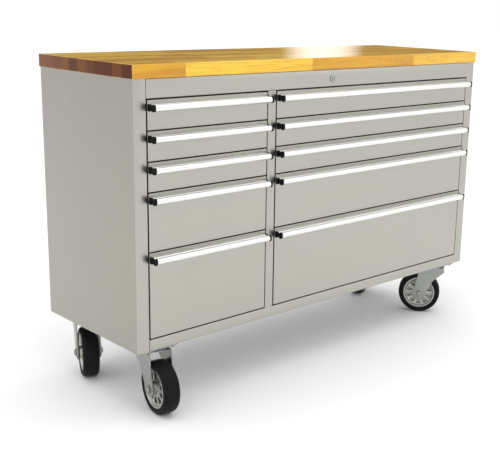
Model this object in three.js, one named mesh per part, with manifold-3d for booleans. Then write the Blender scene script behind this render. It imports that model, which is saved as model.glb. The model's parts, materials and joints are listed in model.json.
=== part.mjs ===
// Rolling tool chest: a stainless cabinet with two columns of drawers under a wooden worktop,
// standing on four swivel casters. Millimetres, +X to the right, +Y to the back, +Z up.
// The cabinet's own frame has its corner at the front left bottom edge of the sheet-metal body.
import * as THREE from 'three';
import { mergeVertices } from 'three/addons/utils/BufferGeometryUtils.js';
import Module from 'manifold-3d';

const wasm = await Module();
wasm.setup();

// Cabinet body
const WIDTH = 1420;
const DEPTH = 460;
const HEIGHT = 725;
const SHEET = 1.5;
const FIT = 0.3;
// How far a cutting or joining shape runs past the face it meets
const OVERRUN = 1;
const STILE = 39;
const CENTRE_STILE = 31;
const LEFT_OPENING = 412;
const RIGHT_OPENING = WIDTH - 2 * STILE - CENTRE_STILE - LEFT_OPENING;
const BOTTOM_RAIL = 31.5;
const LIP = 16;
const RAIL_LIP = 18;
const INNER_BACK = DEPTH - 20;
const REAR_RAIL = { drop: 40, reach: 30 };

// Worktop
const TOP_THICKNESS = 36;
const TOP_OVERHANG = 4;
const TOP_EDGE = 1.5;
const TOP_CORNER = 3;

// Drawers, from the top row to the bottom row
const ROW_HEIGHTS = [80, 80, 80, 160, 240];
const FRONT_GAP = 3.5;
const FRONT_DEPTH = 14;
const TRAY_SIDE_ROOM = 13;
const TRAY_BACK = DEPTH - 26;
const TRAY_FLOOR_RISE = 8;
const TRAY_TOP_DROP = 16;

// Drawer slides: a channel on the cabinet with a bar on the tray running inside it
const SLIDE_FRONT = 20;
const SLIDE_BACK = INNER_BACK;
const CHANNEL_DEPTH = 11;
const CHANNEL_HALF = 15.5;
const BAR_HALF = 11;
const BAR_INSET = 3;

// Handles: an extruded section with a round back rib, a neck and a round grip
const HANDLE_RISE = 8.9;
const HANDLE_REACH = 29;
const HANDLE_LOBE = 12;
const HANDLE_NECK = 5;
const HANDLE_DROP = 18.5;
const HANDLE_END = 7;
const HANDLE_ROUND = 4;

// Lock
const LOCK_X = 711;
const LOCK_DROP = 27;
const BEZEL_R = 12;
const BEZEL_DEPTH = 3;
const BARREL_R = 9.5;
const BARREL_BACK = 22;
const PLUG_R = 6.5;
const PLUG_STANDOUT = 1;
const KEYWAY = { width: 2.2, height: 8, depth: 8 };
const CAM_LENGTH = 24;
const CAM_WIDTH = 12;
const CAM_THICK = 3;

// Casters
const CASTER_HEIGHT = 190;
const WHEEL_R = 75;
const RIM_R = 57;
const TRAIL = 48;
const PLATE = { length: 112, width: 100, thick: 6, corner: 10 };
const RACE_R = 31;
const RACE_DEPTH = 6;
const CROWN_TOP = -(PLATE.thick + RACE_DEPTH + 2 * FIT);
const CROWN_BOTTOM = CROWN_TOP - 6;
const CROWN_FRONT = 34;
const LEG_INNER = 31;
const LEG_THICK = 5;
const LEG_BACK = -40;
const LEG_FRONT = 50;
const LEG_END = 21;
const LEG_SHOULDER = CROWN_BOTTOM - 12;
// Where the round end of a leg meets its straight edges, radians past the horizontal
const LEG_TANGENT = { back: 0.45, front: 0.05 };
const AXLE_R = 6;
const AXLE_HEAD_R = 11;
const AXLE_HEAD = 6;
const HUB_BORE = AXLE_R + FIT;
const HUB = { boss: 20, bossFoot: 23, webEdge: 48, rim: 50, bossHalf: 29, rimHalf: 21, webHalf: 14 };
// Half of the tyre's section from its inner edge to its tread: radius, distance from the middle
const TYRE_SECTION = [[RIM_R + FIT, 22], [63, 25], [69, 24], [73, 19], [WHEEL_R, 11]];
const CASTER_INSET = { x: 85, y: 56 };
// Each caster's swivel axis and the direction its wheel trails in, degrees from +X
const CASTERS = {
  front_left: { x: CASTER_INSET.x, y: CASTER_INSET.y, yaw: 262 },
  rear_left: { x: CASTER_INSET.x, y: DEPTH - CASTER_INSET.y, yaw: 246 },
  front_right: { x: WIDTH - CASTER_INSET.x, y: CASTER_INSET.y, yaw: 126 },
  rear_right: { x: WIDTH - CASTER_INSET.x, y: DEPTH - CASTER_INSET.y, yaw: 205 },
};

// Sides used to draw round shapes
const ROUND_SIDES = 32;
const WHEEL_SIDES = 36;
const HOLE_SIDES = 20;
const HEXAGON = 6;
const WELD = 1e-4;

const STEEL = { color: 0xbfbfb8, roughness: 0.35, metalness: 1 };
const WOOD = { color: 0xc9924e, roughness: 0.35, metalness: 0 };
const ALUMINIUM = { color: 0xe6e6e2, roughness: 0.25, metalness: 1 };
const ZINC = { color: 0xa9b0b8, roughness: 0.4, metalness: 1 };
const CAST = { color: 0x9a9c9e, roughness: 0.5, metalness: 1 };
const RUBBER = { color: 0x151515, roughness: 0.8, metalness: 0 };

// ---- Shape helpers ----

function solid(geometry) {
  const bare = geometry.index ? geometry.toNonIndexed() : geometry.clone();
  bare.deleteAttribute('normal');
  bare.deleteAttribute('uv');
  const merged = mergeVertices(bare, WELD);
  return new wasm.Manifold(new wasm.Mesh({
    numProp: 3,
    vertProperties: new Float32Array(merged.attributes.position.array),
    triVerts: new Uint32Array(merged.index.array),
  }));
}

function geometryOf(manifold) {
  const mesh = manifold.getMesh();
  const geometry = new THREE.BufferGeometry();
  geometry.setAttribute('position', new THREE.BufferAttribute(mesh.vertProperties, 3));
  geometry.setIndex(new THREE.BufferAttribute(mesh.triVerts, 1));
  geometry.computeVertexNormals();
  return geometry;
}

function join(first, ...others) {
  return others.reduce((sum, other) => sum.add(other), first);
}

function block(x0, x1, y0, y1, z0, z1) {
  const geometry = new THREE.BoxGeometry(x1 - x0, y1 - y0, z1 - z0);
  geometry.translate((x0 + x1) / 2, (y0 + y1) / 2, (z0 + z1) / 2);
  return solid(geometry);
}

function outline(points) {
  return new THREE.Shape(points.map(([a, b]) => new THREE.Vector2(a, b)));
}

// A section in X and Y, drawn up from z0 to z1
function upright(shape, z0, z1, segments = 6) {
  const options = { depth: z1 - z0, bevelEnabled: false, curveSegments: segments };
  const geometry = new THREE.ExtrudeGeometry(shape, options);
  geometry.translate(0, 0, z0);
  return solid(geometry);
}

// A section in Y and Z, drawn along X from x0 to x1
function lengthwise(shape, x0, x1, segments = 6) {
  const options = { depth: x1 - x0, bevelEnabled: false, curveSegments: segments };
  const geometry = new THREE.ExtrudeGeometry(shape, options);
  const yzx = new THREE.Matrix4().makeBasis(
    new THREE.Vector3(0, 1, 0), new THREE.Vector3(0, 0, 1), new THREE.Vector3(1, 0, 0));
  geometry.applyMatrix4(yzx);
  geometry.translate(x0, 0, 0);
  return solid(geometry);
}

// A section in X and Z, centred on y, of the given thickness
function sideways(shape, y, thickness, segments = 8) {
  const options = { depth: thickness, bevelEnabled: false, curveSegments: segments };
  const geometry = new THREE.ExtrudeGeometry(shape, options);
  geometry.rotateX(Math.PI / 2);
  geometry.translate(0, y + thickness / 2, 0);
  return solid(geometry);
}

function rod(radius, y0, y1, x, z, segments = ROUND_SIDES) {
  const geometry = new THREE.CylinderGeometry(radius, radius, y1 - y0, segments);
  geometry.translate(x, (y0 + y1) / 2, z);
  return solid(geometry);
}

function roundedRectangle(width, height, radius) {
  const [a, b] = [width / 2, height / 2];
  const shape = new THREE.Shape();
  shape.moveTo(-a + radius, -b);
  shape.lineTo(a - radius, -b);
  shape.absarc(a - radius, -b + radius, radius, -Math.PI / 2, 0);
  shape.lineTo(a, b - radius);
  shape.absarc(a - radius, b - radius, radius, 0, Math.PI / 2);
  shape.lineTo(-a + radius, b);
  shape.absarc(-a + radius, b - radius, radius, Math.PI / 2, Math.PI);
  shape.lineTo(-a, -b + radius);
  shape.absarc(-a + radius, -b + radius, radius, Math.PI, 1.5 * Math.PI);
  return shape;
}

function node(name, manifold, look) {
  const mesh = new THREE.Mesh(geometryOf(manifold), new THREE.MeshStandardMaterial(look));
  mesh.name = name;
  return mesh;
}

// ---- Layout ----

const columns = {
  left: { x0: STILE, x1: STILE + LEFT_OPENING },
  right: { x0: WIDTH - STILE - RIGHT_OPENING, x1: WIDTH - STILE },
};
const openingTop = BOTTOM_RAIL + FRONT_GAP + ROW_HEIGHTS.reduce((sum, height) => sum + height, 0);
const lockZ = HEIGHT - LOCK_DROP;

// The front of each row: its bottom and top edge
function rows() {
  let line = openingTop - FRONT_GAP / 2;
  return ROW_HEIGHTS.map((height) => {
    const top = line - FRONT_GAP / 2;
    line -= height;
    return { bottom: line + FRONT_GAP / 2, top };
  });
}

function slideHeight(row) {
  return (row.bottom + TRAY_FLOOR_RISE + row.top - TRAY_TOP_DROP) / 2;
}

// ---- Cabinet ----

function worktop() {
  const size = { x: WIDTH + 2 * TOP_OVERHANG, y: DEPTH + TOP_OVERHANG };
  const options = {
    depth: TOP_THICKNESS - 2 * TOP_EDGE,
    bevelSize: TOP_EDGE,
    bevelThickness: TOP_EDGE,
    bevelOffset: -TOP_EDGE,
    bevelSegments: 2,
    curveSegments: 4,
  };
  const geometry = new THREE.ExtrudeGeometry(roundedRectangle(size.x, size.y, TOP_CORNER), options);
  geometry.translate(WIDTH / 2, size.y / 2 - TOP_OVERHANG, HEIGHT + FIT + TOP_EDGE);
  return node('worktop', solid(geometry), WOOD);
}

// Side wall folded round at the front into the stile and its inward lip, and at the back
function sidePanel(side) {
  const section = [
    [0, 0], [STILE, 0], [STILE, LIP], [STILE - SHEET, LIP], [STILE - SHEET, SHEET],
    [SHEET, SHEET], [SHEET, DEPTH - SHEET], [LIP, DEPTH - SHEET], [LIP, DEPTH], [0, DEPTH],
  ];
  const mirrored = section.map(([x, y]) => [WIDTH - x, y]).reverse();
  const panel = upright(outline(side === 'left' ? section : mirrored), 0, HEIGHT);
  return node(`side_panel_${side}`, panel, STEEL);
}

function backPanel() {
  const y = DEPTH - SHEET - FIT;
  const x = SHEET + FIT;
  return node('back_panel', block(x, WIDTH - x, y - SHEET, y, 0, HEIGHT), STEEL);
}

function basePan() {
  const inset = SHEET + FIT;
  const [x0, x1] = [inset, WIDTH - inset];
  const [y0, y1] = [LIP + FIT, DEPTH - 2 * inset - SHEET];
  const pan = block(x0, x1, y0, y1, 0, LIP)
    .subtract(block(x0 + SHEET, x1 - SHEET, y0 + SHEET, y1 - SHEET, SHEET, LIP + OVERRUN));
  return node('base_pan', pan, STEEL);
}

// Front rails are channels between the stiles, open to the back
function frontRail(name, z0, z1, z0Lip, z1Lip) {
  const [x0, x1] = [STILE + FIT, WIDTH - STILE - FIT];
  const rail = join(
    block(x0, x1, 0, SHEET, z0, z1),
    block(x0, x1, 0, z0Lip, z0, z0 + SHEET),
    block(x0, x1, 0, z1Lip, z1 - SHEET, z1));
  return { name, rail };
}

function topRail() {
  const { name, rail } = frontRail('top_rail', openingTop, HEIGHT, RAIL_LIP, RAIL_LIP);
  const hole = rod(BARREL_R + FIT, -OVERRUN, SHEET + OVERRUN, LOCK_X, lockZ);
  return node(name, rail.subtract(hole), STEEL);
}

function bottomRail() {
  const { name, rail } = frontRail('bottom_rail', 0, BOTTOM_RAIL, SHEET, RAIL_LIP);
  return node(name, rail, STEEL);
}

function rearRail() {
  const inset = SHEET + FIT;
  const y1 = DEPTH - 2 * inset - SHEET;
  const low = HEIGHT - REAR_RAIL.drop;
  const front = y1 - REAR_RAIL.reach;
  const section = outline([
    [y1, low], [y1, HEIGHT], [front, HEIGHT], [front, HEIGHT - SHEET],
    [y1 - SHEET, HEIGHT - SHEET], [y1 - SHEET, low],
  ]);
  return node('rear_rail', lengthwise(section, inset, WIDTH - inset), STEEL);
}

// One slide channel: two lips that stand off a wall at x, reaching in the given direction
function slideChannel(x, direction, z) {
  const reach = x + direction * CHANNEL_DEPTH;
  const [x0, x1] = [Math.min(x, reach), Math.max(x, reach)];
  const lip = (low) => block(x0, x1, SLIDE_FRONT, SLIDE_BACK, low, low + SHEET);
  return lip(z - CHANNEL_HALF).add(lip(z + CHANNEL_HALF - SHEET));
}

function channelsOn(x, direction) {
  return rows().map((row) => slideChannel(x, direction, slideHeight(row)));
}

// Inner wall behind each stile, with the outer slide channels of one column
function innerPanel(side) {
  const direction = side === 'left' ? 1 : -1;
  const face = side === 'left' ? STILE : WIDTH - STILE;
  const root = face - direction * SHEET;
  const wall = block(Math.min(face, root), Math.max(face, root),
    LIP + FIT, INNER_BACK, LIP + FIT, HEIGHT - SHEET - FIT);
  const panel = join(wall, ...channelsOn(face - direction * SHEET / 2, direction));
  return node(`inner_panel_${side}`, panel, STEEL);
}

// The centre partition is a deep channel: its front is the centre stile
function centrePartition() {
  const [x0, x1] = [columns.left.x1, columns.right.x0];
  const [z0, z1] = [BOTTOM_RAIL + FIT, openingTop - FIT];
  const behind = RAIL_LIP + FIT;
  const shell = join(
    block(x0, x1, 0, behind + OVERRUN, z0, z1),
    block(x0, x1, behind, INNER_BACK, SHEET + FIT, HEIGHT - SHEET - FIT));
  const hollow = block(x0 + SHEET, x1 - SHEET, SHEET, DEPTH, 0, HEIGHT);
  const walls = shell.subtract(hollow);
  const partition = join(walls,
    ...channelsOn(x0 + SHEET / 2, -1), ...channelsOn(x1 - SHEET / 2, 1));
  return node('centre_partition', partition, STEEL);
}

// ---- Lock ----

function lock() {
  const plugFront = -BEZEL_DEPTH - PLUG_STANDOUT;
  const plugBack = BARREL_BACK + PLUG_STANDOUT;
  const bezel = rod(BEZEL_R, -BEZEL_DEPTH, -FIT, LOCK_X, lockZ);
  const barrel = rod(BARREL_R, OVERRUN - BEZEL_DEPTH, BARREL_BACK, LOCK_X, lockZ);
  const bore = rod(PLUG_R + FIT, plugFront, plugBack, LOCK_X, lockZ);
  const body = bezel.add(barrel).subtract(bore);
  const [halfWidth, halfHeight] = [KEYWAY.width / 2, KEYWAY.height / 2];
  const keyway = block(LOCK_X - halfWidth, LOCK_X + halfWidth,
    plugFront - OVERRUN, plugFront + KEYWAY.depth, lockZ - halfHeight, lockZ + halfHeight);
  const plug = rod(PLUG_R, plugFront, plugBack, LOCK_X, lockZ).subtract(keyway);
  const camY = plugBack + FIT;
  const cam = block(LOCK_X - CAM_WIDTH / 2, LOCK_X + CAM_LENGTH, camY, camY + CAM_THICK,
    lockZ - CAM_WIDTH / 2, lockZ + CAM_WIDTH / 2);
  return [
    node('lock_barrel', body, CAST),
    node('lock_plug', plug, CAST),
    node('lock_cam', cam, ZINC),
  ];
}

// ---- Drawers ----

function tray(column, row) {
  const [x0, x1] = [column.x0 + FRONT_GAP, column.x1 - FRONT_GAP];
  const front = block(x0, x1, 0, FRONT_DEPTH, row.bottom, row.top)
    .subtract(block(x0 + SHEET, x1 - SHEET, SHEET, FRONT_DEPTH + OVERRUN,
      row.bottom + SHEET, row.top - SHEET));
  const [a, b] = [column.x0 + TRAY_SIDE_ROOM, column.x1 - TRAY_SIDE_ROOM];
  const [low, high] = [row.bottom + TRAY_FLOOR_RISE, row.top - TRAY_TOP_DROP];
  const outer = block(a, b, SHEET / 2, TRAY_BACK, low, high);
  const inner = block(a + SHEET, b - SHEET, SHEET / 2 - OVERRUN, TRAY_BACK - SHEET,
    low + SHEET, high + OVERRUN);
  const z = slideHeight(row);
  const bar = (from, to) => block(from, to, SLIDE_FRONT, TRAY_BACK, z - BAR_HALF, z + BAR_HALF);
  return join(front, outer.subtract(inner),
    bar(column.x0 + BAR_INSET, a + SHEET / 2), bar(b - SHEET / 2, column.x1 - BAR_INSET));
}

function handleSection(z) {
  const back = -FIT;
  const front = -HANDLE_REACH;
  const neck = HANDLE_NECK / 2;
  const r = HANDLE_ROUND;
  const rise = HANDLE_RISE;
  const lobe = HANDLE_LOBE;
  const shape = new THREE.Shape();
  shape.moveTo(back, z - rise);
  shape.lineTo(back, z + rise);
  shape.lineTo(back - lobe + r, z + rise);
  shape.absarc(back - lobe + r, z + rise - r, r, Math.PI / 2, Math.PI);
  shape.lineTo(back - lobe, z + neck);
  shape.lineTo(front + lobe, z + neck);
  shape.lineTo(front + lobe, z + rise - r);
  shape.absarc(front + lobe - r, z + rise - r, r, 0, Math.PI / 2);
  shape.absarc(front + r, z + rise - r, r, Math.PI / 2, Math.PI);
  shape.absarc(front + r, z - rise + r, r, Math.PI, 1.5 * Math.PI);
  shape.absarc(front + lobe - r, z - rise + r, r, -Math.PI / 2, 0);
  shape.lineTo(front + lobe, z - neck);
  shape.lineTo(back - lobe, z - neck);
  shape.absarc(back - lobe + r, z - rise + r, r, Math.PI, 1.5 * Math.PI);
  return shape;
}

function drawers() {
  const list = [];
  for (const [side, column] of Object.entries(columns)) {
    rows().forEach((row, index) => {
      const label = `${side}_${index + 1}`;
      const x0 = column.x0 + FRONT_GAP + HANDLE_END;
      const x1 = column.x1 - FRONT_GAP - HANDLE_END;
      const section = handleSection(row.top - HANDLE_DROP);
      list.push(node(`drawer_${label}`, tray(column, row), STEEL));
      list.push(node(`handle_${label}`, lengthwise(section, x0, x1, 4), ALUMINIUM));
    });
  }
  return list;
}

// ---- Casters, each built with its swivel axis on Z and its wheel trailing along +X ----

const axleZ = WHEEL_R - CASTER_HEIGHT;

function casterPlate() {
  const { length, width, thick, corner } = PLATE;
  const plate = upright(roundedRectangle(length, width, corner), -thick - FIT, -FIT, 3);
  const top = OVERRUN - thick - FIT;
  const bottom = -thick - FIT - RACE_DEPTH;
  const race = new THREE.CylinderGeometry(RACE_R, RACE_R, top - bottom, ROUND_SIDES);
  race.rotateX(Math.PI / 2);
  race.translate(0, 0, (top + bottom) / 2);
  return plate.add(solid(race));
}

// Fork leg outline: broad under the crown, tapering to a round end about the axle
function legOutline() {
  const { back, front } = LEG_TANGENT;
  const shape = new THREE.Shape();
  shape.moveTo(LEG_BACK, CROWN_TOP);
  shape.lineTo(LEG_BACK, LEG_SHOULDER);
  shape.lineTo(TRAIL - LEG_END * Math.cos(back), axleZ - LEG_END * Math.sin(back));
  shape.absarc(TRAIL, axleZ, LEG_END, Math.PI + back, 2 * Math.PI + front);
  shape.lineTo(LEG_FRONT, LEG_SHOULDER);
  shape.lineTo(LEG_FRONT, CROWN_TOP);
  return shape;
}

function fork() {
  const outer = LEG_INNER + LEG_THICK;
  const crown = block(LEG_BACK, CROWN_FRONT, -outer, outer, CROWN_BOTTOM, CROWN_TOP);
  const leg = (side) => sideways(legOutline(), side * (LEG_INNER + LEG_THICK / 2), LEG_THICK);
  const hole = rod(AXLE_R + FIT, -outer - OVERRUN, outer + OVERRUN, TRAIL, axleZ, HOLE_SIDES);
  return join(crown, leg(1), leg(-1)).subtract(hole);
}

function axle() {
  const outer = LEG_INNER + LEG_THICK + FIT;
  return join(
    rod(AXLE_R, -outer - OVERRUN, outer + OVERRUN, TRAIL, axleZ, HOLE_SIDES),
    rod(AXLE_HEAD_R, outer, outer + AXLE_HEAD, TRAIL, axleZ, HEXAGON),
    rod(AXLE_HEAD_R, -outer - AXLE_HEAD, -outer, TRAIL, axleZ, HEXAGON));
}

// A turned ring about the wheel's own axis; the profile is [radius, y] pairs in closing order
function turned(profile) {
  const closed = [...profile, profile[0]].map(([r, y]) => new THREE.Vector2(r, y));
  const geometry = new THREE.LatheGeometry(closed, WHEEL_SIDES);
  geometry.translate(TRAIL, 0, axleZ);
  return solid(geometry);
}

function hub() {
  const { boss, bossFoot, webEdge, rim, bossHalf, rimHalf, webHalf } = HUB;
  return turned([
    [HUB_BORE, -bossHalf], [boss, -bossHalf], [bossFoot, -webHalf], [webEdge, -webHalf],
    [rim, -rimHalf], [RIM_R, -rimHalf], [RIM_R, rimHalf], [rim, rimHalf],
    [webEdge, webHalf], [bossFoot, webHalf], [boss, bossHalf], [HUB_BORE, bossHalf],
  ]);
}

function tyre() {
  const near = TYRE_SECTION.map(([r, y]) => [r, -y]);
  const far = [...TYRE_SECTION].reverse();
  return turned([...near, ...far]);
}

function caster(label, { x, y, yaw }) {
  const fixed = node(`caster_plate_${label}`, casterPlate(), ZINC);
  const turning = new THREE.Group();
  turning.rotation.z = THREE.MathUtils.degToRad(yaw);
  turning.add(
    node(`caster_fork_${label}`, fork(), ZINC),
    node(`caster_axle_${label}`, axle(), ZINC),
    node(`wheel_hub_${label}`, hub(), CAST),
    node(`wheel_tyre_${label}`, tyre(), RUBBER));
  const group = new THREE.Group();
  group.position.set(x, y, 0);
  group.add(fixed, turning);
  return group;
}

// ---- Assembly ----

const cabinet = new THREE.Group();
cabinet.add(
  worktop(), sidePanel('left'), sidePanel('right'), backPanel(), basePan(), topRail(),
  bottomRail(), rearRail(), innerPanel('left'), innerPanel('right'), centrePartition(),
  ...lock(), ...drawers());
for (const [label, place] of Object.entries(CASTERS)) {
  cabinet.add(caster(label, place));
}

// The origin is on the floor under the middle of the chest's bounding box
const bounds = new THREE.Box3().setFromObject(cabinet, true);
const middle = bounds.getCenter(new THREE.Vector3());
cabinet.position.set(-middle.x, -middle.y, -bounds.min.z);

const chest = new THREE.Group();
chest.add(cabinet);

export default chest;
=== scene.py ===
"""Rolling tool chest: stainless cabinet, full-width handled drawers, varnished worktop, casters."""

import json
import math

import bmesh
import bpy
from mathutils import Matrix, Vector


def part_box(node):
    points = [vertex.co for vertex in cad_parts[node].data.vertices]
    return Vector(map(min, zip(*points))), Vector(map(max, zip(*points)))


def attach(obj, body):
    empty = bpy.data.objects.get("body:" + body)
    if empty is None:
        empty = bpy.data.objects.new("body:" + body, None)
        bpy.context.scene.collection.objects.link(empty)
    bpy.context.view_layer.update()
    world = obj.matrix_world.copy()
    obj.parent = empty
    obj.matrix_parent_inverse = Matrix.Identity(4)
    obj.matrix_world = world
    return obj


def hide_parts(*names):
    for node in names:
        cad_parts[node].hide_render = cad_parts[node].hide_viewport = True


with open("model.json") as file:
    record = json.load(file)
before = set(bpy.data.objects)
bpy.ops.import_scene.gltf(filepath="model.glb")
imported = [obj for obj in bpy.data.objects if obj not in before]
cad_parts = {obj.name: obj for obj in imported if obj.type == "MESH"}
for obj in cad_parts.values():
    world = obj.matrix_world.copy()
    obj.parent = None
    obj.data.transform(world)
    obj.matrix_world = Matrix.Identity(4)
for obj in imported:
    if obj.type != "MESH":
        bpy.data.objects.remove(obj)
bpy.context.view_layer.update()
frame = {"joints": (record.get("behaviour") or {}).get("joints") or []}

# ---- The cabinet's own faces, from the frame ----

LEFT_LO, LEFT_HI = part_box("side_panel_left")
RIGHT_LO, RIGHT_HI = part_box("side_panel_right")
LEFT, RIGHT = LEFT_LO[0], RIGHT_HI[0]
FRONT, BACK = LEFT_LO[1], LEFT_HI[1]
BOTTOM, TOP = LEFT_LO[2], LEFT_HI[2]
STILE_LEFT, STILE_RIGHT = LEFT_HI[0], RIGHT_LO[0]
OPENING_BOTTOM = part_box("bottom_rail")[1][2]
OPENING_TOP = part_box("top_rail")[0][2]
SHEET = 0.0015          # thickness of the folded steel
LIP = 0.016             # flange turned in behind a stile
RAIL_LIP = 0.018
GAP = 0.0035            # around each drawer front
FOLD = 0.0026           # outside radius of the cabinet's upright folds
RAIL_FOLD = 0.002
INNER_FOLD = 0.0006     # inside radius of a fold
SEAT = 0.0001           # step between pieces that are fastened to each other
CLEAR = 0.0003          # clearance between pieces that only nearly meet
CABINET = "cabinet"
SIDES = ("left", "right")
CORNERS = ("front_left", "rear_left", "front_right", "rear_right")
ROWS = range(1, 6)

# ---- Node helpers ----


def add(tree, kind, inputs=None, **settings):
    """A shader node; an input is a constant or the socket that feeds it."""
    node = tree.nodes.new(kind)
    for key, value in settings.items():
        setattr(node, key, value)
    for key, value in (inputs or {}).items():
        if isinstance(value, bpy.types.NodeSocket):
            tree.links.new(value, node.inputs[key])
        else:
            node.inputs[key].default_value = value
    return node


def math_node(tree, operation, a, b=0.0):
    return add(tree, "ShaderNodeMath", {0: a, 1: b}, operation=operation).outputs[0]


def scaled(tree, vector, scale):
    return add(tree, "ShaderNodeVectorMath", {0: vector, 1: scale}, operation="MULTIPLY").outputs[0]


def added(tree, vector, offset):
    return add(tree, "ShaderNodeVectorMath", {0: vector, 1: offset}, operation="ADD").outputs[0]


def noise(tree, vector, scale, detail=3.0, roughness=0.5, distortion=0.0):
    return add(tree, "ShaderNodeTexNoise", {
        "Vector": vector, "Scale": scale, "Detail": detail,
        "Roughness": roughness, "Distortion": distortion}).outputs["Fac"]


def remap(tree, value, low, high, to_low=0.0, to_high=1.0):
    return add(tree, "ShaderNodeMapRange", {
        "Value": value, "From Min": low, "From Max": high,
        "To Min": to_low, "To Max": to_high}).outputs[0]


def blend_colours(tree, factor, a, b):
    return add(tree, "ShaderNodeMix", {0: factor, 6: a, 7: b}, data_type="RGBA").outputs[2]


def bump(tree, height, strength, distance):
    return add(tree, "ShaderNodeBump", {
        "Height": height, "Strength": strength, "Distance": distance}).outputs[0]


def object_coordinates(tree):
    return add(tree, "ShaderNodeTexCoord").outputs["Object"]


def new_group(name, inputs, outputs):
    tree = bpy.data.node_groups.new(name, "ShaderNodeTree")
    for label, kind, value in inputs:
        socket = tree.interface.new_socket(label, in_out="INPUT", socket_type=kind)
        socket.default_value = value
    for label, kind in outputs:
        tree.interface.new_socket(label, in_out="OUTPUT", socket_type=kind)
    source = tree.nodes.new("NodeGroupInput")
    sink = tree.nodes.new("NodeGroupOutput")
    return tree, source.outputs, sink.inputs


FLOAT, VECTOR = "NodeSocketFloat", "NodeSocketVector"


def brushing_group():
    """Parallel brush lines drawn out along one direction, with slow clouding over them."""
    tree, source, sink = new_group(
        "brush_lines",
        [("Place", VECTOR, (0, 0, 0)), ("Stretch", VECTOR, (6, 500, 500)), ("Seed", FLOAT, 0.0)],
        [("Tone", FLOAT), ("Gloss", FLOAT), ("Height", FLOAT)])
    shift = added(tree, source["Place"], source["Seed"])
    lines = scaled(tree, shift, source["Stretch"])
    fine = noise(tree, lines, 1.0, 4.0, 0.6)
    broad = noise(tree, lines, 0.17, 3.0, 0.6)
    cloud = noise(tree, shift, 3.2, 3.0, 0.55, 0.4)
    tone = math_node(tree, "ADD", math_node(tree, "MULTIPLY", fine, 0.35), math_node(tree, "MULTIPLY", broad, 0.4))
    tone = math_node(tree, "ADD", tone, math_node(tree, "MULTIPLY", cloud, 0.25))
    tree.links.new(remap(tree, tone, 0.34, 0.66), sink["Tone"])
    gloss = math_node(tree, "ADD", math_node(tree, "MULTIPLY", broad, 0.5), math_node(tree, "MULTIPLY", cloud, 0.5))
    tree.links.new(remap(tree, gloss, 0.36, 0.64), sink["Gloss"])
    tree.links.new(fine, sink["Height"])
    return tree


def handling_group():
    """Finger smears and fine dust: soft patches broken up by small specks."""
    tree, source, sink = new_group(
        "handling_marks",
        [("Place", VECTOR, (0, 0, 0)), ("Patch", FLOAT, 9.0), ("Speck", FLOAT, 380.0)],
        [("Smear", FLOAT), ("Dust", FLOAT)])
    patch = noise(tree, source["Place"], source["Patch"], 4.0, 0.62, 0.8)
    speck = noise(tree, source["Place"], source["Speck"], 2.0, 0.5)
    tree.links.new(remap(tree, patch, 0.5, 0.72), sink["Smear"])
    dust = math_node(tree, "MULTIPLY", remap(tree, speck, 0.55, 0.72), remap(tree, patch, 0.35, 0.6))
    tree.links.new(dust, sink["Dust"])
    return tree


BRUSHING = brushing_group()
HANDLING = handling_group()


def group_node(tree, group, inputs):
    return add(tree, "ShaderNodeGroup", inputs, node_tree=group).outputs


def new_material(name, **values):
    """A material whose Principled shader has these constant inputs, written with underscores."""
    material = bpy.data.materials.new(name)
    material.use_nodes = True
    tree = material.node_tree
    shader = tree.nodes["Principled BSDF"]
    for key, value in values.items():
        shader.inputs[key.replace("_", " ")].default_value = value
    return material, tree, shader


def tint(colour, factor):
    return (*(min(1.0, c * factor) for c in colour), 1.0)


# ---- Materials ----


def brushed_metal(name, colour, stretch, rough=(0.27, 0.36), contrast=0.03, relief=0.00002, seed=0.0):
    material, tree, shader = new_material(name, Metallic=1.0)
    place = object_coordinates(tree)
    lines = group_node(tree, BRUSHING, {"Place": place, "Stretch": stretch, "Seed": seed})
    marks = group_node(tree, HANDLING, {"Place": place})
    base = blend_colours(tree, lines["Tone"], tint(colour, 1 - contrast), tint(colour, 1 + contrast))
    base = blend_colours(tree, math_node(tree, "MULTIPLY", marks["Dust"], 0.12), base, (0.5, 0.48, 0.44, 1))
    tree.links.new(base, shader.inputs["Base Color"])
    rough_value = remap(tree, lines["Gloss"], 0.0, 1.0, *rough)
    rough_value = math_node(tree, "ADD", rough_value, math_node(tree, "MULTIPLY", marks["Smear"], 0.05))
    tree.links.new(rough_value, shader.inputs["Roughness"])
    tree.links.new(bump(tree, lines["Height"], 0.35, relief), shader.inputs["Normal"])
    return material


STAVE_WIDTH = 0.0422
STAVE_LENGTH = 0.46


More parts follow.
